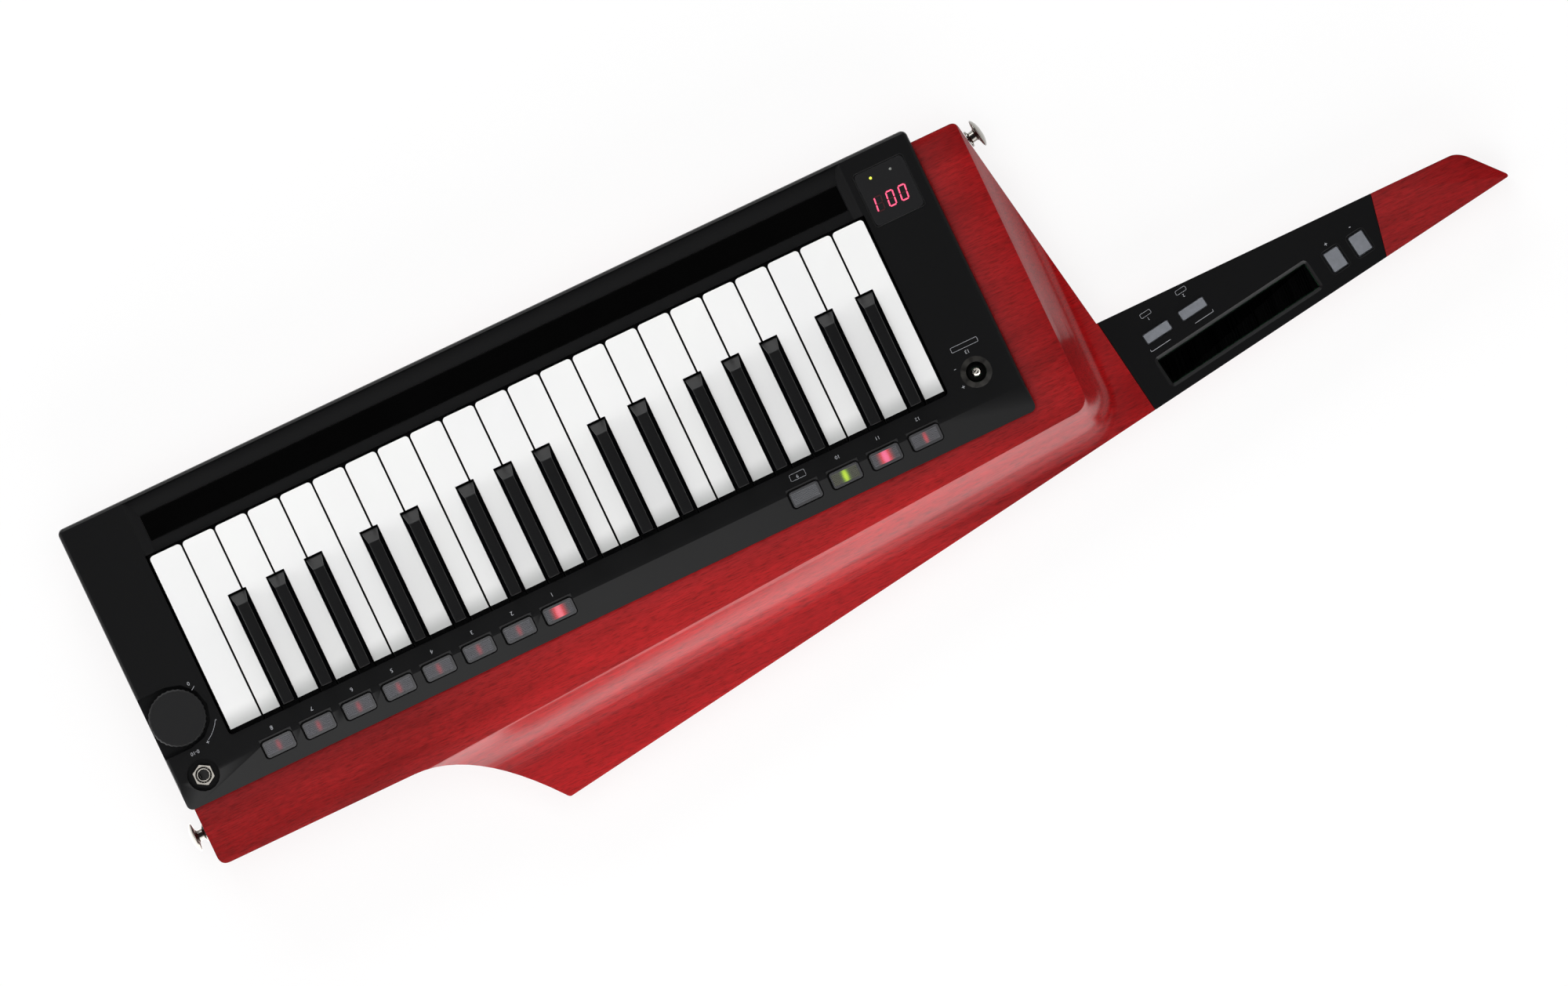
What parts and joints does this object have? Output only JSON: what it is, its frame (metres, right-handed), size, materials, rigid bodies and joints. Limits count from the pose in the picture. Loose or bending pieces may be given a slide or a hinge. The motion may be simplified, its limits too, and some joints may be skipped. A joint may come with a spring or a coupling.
{
  "type": "keytar",
  "caption": "Shoulder-worn keyboard with sprung mini keys, touch strips and control buttons set in a stained wooden body that runs through into the neck.",
  "frame": {"origin": "under the middle of the whole instrument, on its back", "axes": "+Z out of the playing face, +X from the neck towards the tail, +Y away from the player"},
  "size_m": [0.8426, 0.2626, 0.071],
  "materials": {
    "stained_wood": "red-stained open-grain hardwood under satin lacquer",
    "black_plastic": "fine-textured injection-moulded ABS",
    "ribbon_film": "smooth polyester touch film",
    "white_key": "polished moulded ABS",
    "black_key": "satin moulded ABS",
    "smoked_window": "smoked acrylic",
    "button_cap": "translucent moulded polycarbonate with fine ribs",
    "neck_button": "moulded silicone",
    "nickel": "polished nickel plate",
    "circuit_board": "glass-epoxy board with green solder mask",
    "knob_plastic": "matte moulded ABS",
    "frame_plastic": "moulded ABS"
  },
  "bodies": {
    "body": {"wood_body": "stained_wood", "back_cover": "frame_plastic", "control_panel": "black_plastic", "short_ribbon": "ribbon_film", "display_window": "smoked_window", "output_jack": "nickel", "main_board": "circuit_board", "keybed_frame": "frame_plastic", "neck_cover": "black_plastic", "neck_board": "circuit_board", "strap_pin_tail": "nickel", "strap_pin_horn": "nickel"},
    "key_01_c_body": {"key_01_c": "white_key"},
    "key_02_c_sharp_body": {"key_02_c_sharp": "black_key"},
    "key_03_d_body": {"key_03_d": "white_key"},
    "key_04_d_sharp_body": {"key_04_d_sharp": "black_key"},
    "key_05_e_body": {"key_05_e": "white_key"},
    "key_06_f_body": {"key_06_f": "white_key"},
    "key_07_f_sharp_body": {"key_07_f_sharp": "black_key"},
    "key_08_g_body": {"key_08_g": "white_key"},
    "key_09_g_sharp_body": {"key_09_g_sharp": "black_key"},
    "key_10_a_body": {"key_10_a": "white_key"},
    "key_11_a_sharp_body": {"key_11_a_sharp": "black_key"},
    "key_12_b_body": {"key_12_b": "white_key"},
    "key_13_c_body": {"key_13_c": "white_key"},
    "key_14_c_sharp_body": {"key_14_c_sharp": "black_key"},
    "key_15_d_body": {"key_15_d": "white_key"},
    "key_16_d_sharp_body": {"key_16_d_sharp": "black_key"},
    "key_17_e_body": {"key_17_e": "white_key"},
    "key_18_f_body": {"key_18_f": "white_key"},
    "key_19_f_sharp_body": {"key_19_f_sharp": "black_key"},
    "key_20_g_body": {"key_20_g": "white_key"},
    "key_21_g_sharp_body": {"key_21_g_sharp": "black_key"},
    "key_22_a_body": {"key_22_a": "white_key"},
    "key_23_a_sharp_body": {"key_23_a_sharp": "black_key"},
    "key_24_b_body": {"key_24_b": "white_key"},
    "key_25_c_body": {"key_25_c": "white_key"},
    "key_26_c_sharp_body": {"key_26_c_sharp": "black_key"},
    "key_27_d_body": {"key_27_d": "white_key"},
    "key_28_d_sharp_body": {"key_28_d_sharp": "black_key"},
    "key_29_e_body": {"key_29_e": "white_key"},
    "key_30_f_body": {"key_30_f": "white_key"},
    "key_31_f_sharp_body": {"key_31_f_sharp": "black_key"},
    "key_32_g_body": {"key_32_g": "white_key"},
    "key_33_g_sharp_body": {"key_33_g_sharp": "black_key"},
    "key_34_a_body": {"key_34_a": "white_key"},
    "key_35_a_sharp_body": {"key_35_a_sharp": "black_key"},
    "key_36_b_body": {"key_36_b": "white_key"},
    "key_37_c_body": {"key_37_c": "white_key"},
    "favourite_buttons_body": {"favourite_buttons": "button_cap"},
    "tempo_button_body": {"tempo_button": "button_cap"},
    "arpeggio_button_body": {"arpeggio_button": "button_cap"},
    "ribbon_button_body": {"ribbon_button": "button_cap"},
    "shift_button_body": {"shift_button": "button_cap"},
    "filter_button_body": {"filter_button": "neck_button"},
    "pitch_button_body": {"pitch_button": "neck_button"},
    "octave_up_button_body": {"octave_up_button": "neck_button"},
    "octave_down_button_body": {"octave_down_button": "neck_button"},
    "volume_knob_body": {"volume_knob": "knob_plastic"},
    "sound_lever_body": {"sound_lever": "nickel"}
  },
  "joints": [
    {"name": "key_01_c_hinge", "type": "hinge", "parent": "body", "child": "key_01_c_body", "pos_m": [-0.06727, 0.02865, 0.0415], "axis": [1, 0, 0], "range_deg": [0, 3], "stiffness_Nm_per_rad": 0.3, "springref_deg": -11.46},
    {"name": "key_02_c_sharp_hinge", "type": "hinge", "parent": "body", "child": "key_02_c_sharp_body", "pos_m": [-0.05947, 0.02865, 0.0415], "axis": [1, 0, 0], "range_deg": [0, 3], "stiffness_Nm_per_rad": 0.3, "springref_deg": -11.46},
    {"name": "key_03_d_hinge", "type": "hinge", "parent": "body", "child": "key_03_d_body", "pos_m": [-0.04674, 0.02865, 0.0415], "axis": [1, 0, 0], "range_deg": [0, 3], "stiffness_Nm_per_rad": 0.3, "springref_deg": -11.46},
    {"name": "key_04_d_sharp_hinge", "type": "hinge", "parent": "body", "child": "key_04_d_sharp_body", "pos_m": [-0.03401, 0.02865, 0.0415], "axis": [1, 0, 0], "range_deg": [0, 3], "stiffness_Nm_per_rad": 0.3, "springref_deg": -11.46},
    {"name": "key_05_e_hinge", "type": "hinge", "parent": "body", "child": "key_05_e_body", "pos_m": [-0.02621, 0.02865, 0.0415], "axis": [1, 0, 0], "range_deg": [0, 3], "stiffness_Nm_per_rad": 0.3, "springref_deg": -11.46},
    {"name": "key_06_f_hinge", "type": "hinge", "parent": "body", "child": "key_06_f_body", "pos_m": [-0.00568, 0.02865, 0.0415], "axis": [1, 0, 0], "range_deg": [0, 3], "stiffness_Nm_per_rad": 0.3, "springref_deg": -11.46},
    {"name": "key_07_f_sharp_hinge", "type": "hinge", "parent": "body", "child": "key_07_f_sharp_body", "pos_m": [0.00109, 0.02865, 0.0415], "axis": [1, 0, 0], "range_deg": [0, 3], "stiffness_Nm_per_rad": 0.3, "springref_deg": -11.46},
    {"name": "key_08_g_hinge", "type": "hinge", "parent": "body", "child": "key_08_g_body", "pos_m": [0.01485, 0.02865, 0.0415], "axis": [1, 0, 0], "range_deg": [0, 3], "stiffness_Nm_per_rad": 0.3, "springref_deg": -11.46},
    {"name": "key_09_g_sharp_hinge", "type": "hinge", "parent": "body", "child": "key_09_g_sharp_body", "pos_m": [0.02511, 0.02865, 0.0415], "axis": [1, 0, 0], "range_deg": [0, 3], "stiffness_Nm_per_rad": 0.3, "springref_deg": -11.46},
    {"name": "key_10_a_hinge", "type": "hinge", "parent": "body", "child": "key_10_a_body", "pos_m": [0.03538, 0.02865, 0.0415], "axis": [1, 0, 0], "range_deg": [0, 3], "stiffness_Nm_per_rad": 0.3, "springref_deg": -11.46},
    {"name": "key_11_a_sharp_hinge", "type": "hinge", "parent": "body", "child": "key_11_a_sharp_body", "pos_m": [0.04913, 0.02865, 0.0415], "axis": [1, 0, 0], "range_deg": [0, 3], "stiffness_Nm_per_rad": 0.3, "springref_deg": -11.46},
    {"name": "key_12_b_hinge", "type": "hinge", "parent": "body", "child": "key_12_b_body", "pos_m": [0.05591, 0.02865, 0.0415], "axis": [1, 0, 0], "range_deg": [0, 3], "stiffness_Nm_per_rad": 0.3, "springref_deg": -11.46},
    {"name": "key_13_c_hinge", "type": "hinge", "parent": "body", "child": "key_13_c_body", "pos_m": [0.07644, 0.02865, 0.0415], "axis": [1, 0, 0], "range_deg": [0, 3], "stiffness_Nm_per_rad": 0.3, "springref_deg": -11.46},
    {"name": "key_14_c_sharp_hinge", "type": "hinge", "parent": "body", "child": "key_14_c_sharp_body", "pos_m": [0.08424, 0.02865, 0.0415], "axis": [1, 0, 0], "range_deg": [0, 3], "stiffness_Nm_per_rad": 0.3, "springref_deg": -11.46},
    {"name": "key_15_d_hinge", "type": "hinge", "parent": "body", "child": "key_15_d_body", "pos_m": [0.09697, 0.02865, 0.0415], "axis": [1, 0, 0], "range_deg": [0, 3], "stiffness_Nm_per_rad": 0.3, "springref_deg": -11.46},
    {"name": "key_16_d_sharp_hinge", "type": "hinge", "parent": "body", "child": "key_16_d_sharp_body", "pos_m": [0.1097, 0.02865, 0.0415], "axis": [1, 0, 0], "range_deg": [0, 3], "stiffness_Nm_per_rad": 0.3, "springref_deg": -11.46},
    {"name": "key_17_e_hinge", "type": "hinge", "parent": "body", "child": "key_17_e_body", "pos_m": [0.1175, 0.02865, 0.0415], "axis": [1, 0, 0], "range_deg": [0, 3], "stiffness_Nm_per_rad": 0.3, "springref_deg": -11.46},
    {"name": "key_18_f_hinge", "type": "hinge", "parent": "body", "child": "key_18_f_body", "pos_m": [0.13803, 0.02865, 0.0415], "axis": [1, 0, 0], "range_deg": [0, 3], "stiffness_Nm_per_rad": 0.3, "springref_deg": -11.46},
    {"name": "key_19_f_sharp_hinge", "type": "hinge", "parent": "body", "child": "key_19_f_sharp_body", "pos_m": [0.1448, 0.02865, 0.0415], "axis": [1, 0, 0], "range_deg": [0, 3], "stiffness_Nm_per_rad": 0.3, "springref_deg": -11.46},
    {"name": "key_20_g_hinge", "type": "hinge", "parent": "body", "child": "key_20_g_body", "pos_m": [0.15856, 0.02865, 0.0415], "axis": [1, 0, 0], "range_deg": [0, 3], "stiffness_Nm_per_rad": 0.3, "springref_deg": -11.46},
    {"name": "key_21_g_sharp_hinge", "type": "hinge", "parent": "body", "child": "key_21_g_sharp_body", "pos_m": [0.16882, 0.02865, 0.0415], "axis": [1, 0, 0], "range_deg": [0, 3], "stiffness_Nm_per_rad": 0.3, "springref_deg": -11.46},
    {"name": "key_22_a_hinge", "type": "hinge", "parent": "body", "child": "key_22_a_body", "pos_m": [0.17909, 0.02865, 0.0415], "axis": [1, 0, 0], "range_deg": [0, 3], "stiffness_Nm_per_rad": 0.3, "springref_deg": -11.46},
    {"name": "key_23_a_sharp_hinge", "type": "hinge", "parent": "body", "child": "key_23_a_sharp_body", "pos_m": [0.19284, 0.02865, 0.0415], "axis": [1, 0, 0], "range_deg": [0, 3], "stiffness_Nm_per_rad": 0.3, "springref_deg": -11.46},
    {"name": "key_24_b_hinge", "type": "hinge", "parent": "body", "child": "key_24_b_body", "pos_m": [0.19962, 0.02865, 0.0415], "axis": [1, 0, 0], "range_deg": [0, 3], "stiffness_Nm_per_rad": 0.3, "springref_deg": -11.46},
    {"name": "key_25_c_hinge", "type": "hinge", "parent": "body", "child": "key_25_c_body", "pos_m": [0.22015, 0.02865, 0.0415], "axis": [1, 0, 0], "range_deg": [0, 3], "stiffness_Nm_per_rad": 0.3, "springref_deg": -11.46},
    {"name": "key_26_c_sharp_hinge", "type": "hinge", "parent": "body", "child": "key_26_c_sharp_body", "pos_m": [0.22795, 0.02865, 0.0415], "axis": [1, 0, 0], "range_deg": [0, 3], "stiffness_Nm_per_rad": 0.3, "springref_deg": -11.46},
    {"name": "key_27_d_hinge", "type": "hinge", "parent": "body", "child": "key_27_d_body", "pos_m": [0.24068, 0.02865, 0.0415], "axis": [1, 0, 0], "range_deg": [0, 3], "stiffness_Nm_per_rad": 0.3, "springref_deg": -11.46},
    {"name": "key_28_d_sharp_hinge", "type": "hinge", "parent": "body", "child": "key_28_d_sharp_body", "pos_m": [0.2534, 0.02865, 0.0415], "axis": [1, 0, 0], "range_deg": [0, 3], "stiffness_Nm_per_rad": 0.3, "springref_deg": -11.46},
    {"name": "key_29_e_hinge", "type": "hinge", "parent": "body", "child": "key_29_e_body", "pos_m": [0.26121, 0.02865, 0.0415], "axis": [1, 0, 0], "range_deg": [0, 3], "stiffness_Nm_per_rad": 0.3, "springref_deg": -11.46},
    {"name": "key_30_f_hinge", "type": "hinge", "parent": "body", "child": "key_30_f_body", "pos_m": [0.28174, 0.02865, 0.0415], "axis": [1, 0, 0], "range_deg": [0, 3], "stiffness_Nm_per_rad": 0.3, "springref_deg": -11.46},
    {"name": "key_31_f_sharp_hinge", "type": "hinge", "parent": "body", "child": "key_31_f_sharp_body", "pos_m": [0.28851, 0.02865, 0.0415], "axis": [1, 0, 0], "range_deg": [0, 3], "stiffness_Nm_per_rad": 0.3, "springref_deg": -11.46},
    {"name": "key_32_g_hinge", "type": "hinge", "parent": "body", "child": "key_32_g_body", "pos_m": [0.30227, 0.02865, 0.0415], "axis": [1, 0, 0], "range_deg": [0, 3], "stiffness_Nm_per_rad": 0.3, "springref_deg": -11.46},
    {"name": "key_33_g_sharp_hinge", "type": "hinge", "parent": "body", "child": "key_33_g_sharp_body", "pos_m": [0.31253, 0.02865, 0.0415], "axis": [1, 0, 0], "range_deg": [0, 3], "stiffness_Nm_per_rad": 0.3, "springref_deg": -11.46},
    {"name": "key_34_a_hinge", "type": "hinge", "parent": "body", "child": "key_34_a_body", "pos_m": [0.3228, 0.02865, 0.0415], "axis": [1, 0, 0], "range_deg": [0, 3], "stiffness_Nm_per_rad": 0.3, "springref_deg": -11.46},
    {"name": "key_35_a_sharp_hinge", "type": "hinge", "parent": "body", "child": "key_35_a_sharp_body", "pos_m": [0.33655, 0.02865, 0.0415], "axis": [1, 0, 0], "range_deg": [0, 3], "stiffness_Nm_per_rad": 0.3, "springref_deg": -11.46},
    {"name": "key_36_b_hinge", "type": "hinge", "parent": "body", "child": "key_36_b_body", "pos_m": [0.34333, 0.02865, 0.0415], "axis": [1, 0, 0], "range_deg": [0, 3], "stiffness_Nm_per_rad": 0.3, "springref_deg": -11.46},
    {"name": "key_37_c_hinge", "type": "hinge", "parent": "body", "child": "key_37_c_body", "pos_m": [0.36386, 0.02865, 0.0415], "axis": [1, 0, 0], "range_deg": [0, 3], "stiffness_Nm_per_rad": 0.3, "springref_deg": -11.46},
    {"name": "favourite_buttons_press", "type": "slide", "parent": "body", "child": "favourite_buttons_body", "axis": [0, -0.2099, -0.9777], "range_m": [0, 0.0008], "stiffness_N_per_m": 1200, "springref_m": -0.001},
    {"name": "tempo_button_press", "type": "slide", "parent": "body", "child": "tempo_button_body", "axis": [0, -0.2099, -0.9777], "range_m": [0, 0.0008], "stiffness_N_per_m": 400, "springref_m": -0.001},
    {"name": "arpeggio_button_press", "type": "slide", "parent": "body", "child": "arpeggio_button_body", "axis": [0, -0.2099, -0.9777], "range_m": [0, 0.0008], "stiffness_N_per_m": 400, "springref_m": -0.001},
    {"name": "ribbon_button_press", "type": "slide", "parent": "body", "child": "ribbon_button_body", "axis": [0, -0.2099, -0.9777], "range_m": [0, 0.0008], "stiffness_N_per_m": 400, "springref_m": -0.001},
    {"name": "shift_button_press", "type": "slide", "parent": "body", "child": "shift_button_body", "axis": [0, -0.2099, -0.9777], "range_m": [0, 0.0008], "stiffness_N_per_m": 400, "springref_m": -0.001},
    {"name": "filter_button_press", "type": "slide", "parent": "body", "child": "filter_button_body", "axis": [0, 0, -1], "range_m": [0, 0.0008], "stiffness_N_per_m": 400, "springref_m": -0.001},
    {"name": "pitch_button_press", "type": "slide", "parent": "body", "child": "pitch_button_body", "axis": [0, 0, -1], "range_m": [0, 0.0008], "stiffness_N_per_m": 400, "springref_m": -0.001},
    {"name": "octave_up_button_press", "type": "slide", "parent": "body", "child": "octave_up_button_body", "axis": [0, 0, -1], "range_m": [0, 0.0008], "stiffness_N_per_m": 400, "springref_m": -0.001},
    {"name": "octave_down_button_press", "type": "slide", "parent": "body", "child": "octave_down_button_body", "axis": [0, 0, -1], "range_m": [0, 0.0008], "stiffness_N_per_m": 400, "springref_m": -0.001},
    {"name": "volume_knob_turn", "type": "hinge", "parent": "body", "child": "volume_knob_body", "pos_m": [0.39827, -0.00545, 0.0523], "axis": [0, 0, 1], "range_deg": [-150, 150]},
    {"name": "sound_lever_tip", "type": "hinge", "parent": "body", "child": "sound_lever_body", "pos_m": [-0.09844, 0.01155, 0.04948], "axis": [1, 0, 0], "range_deg": [-12, 12], "stiffness_Nm_per_rad": 0.05}
  ]
}
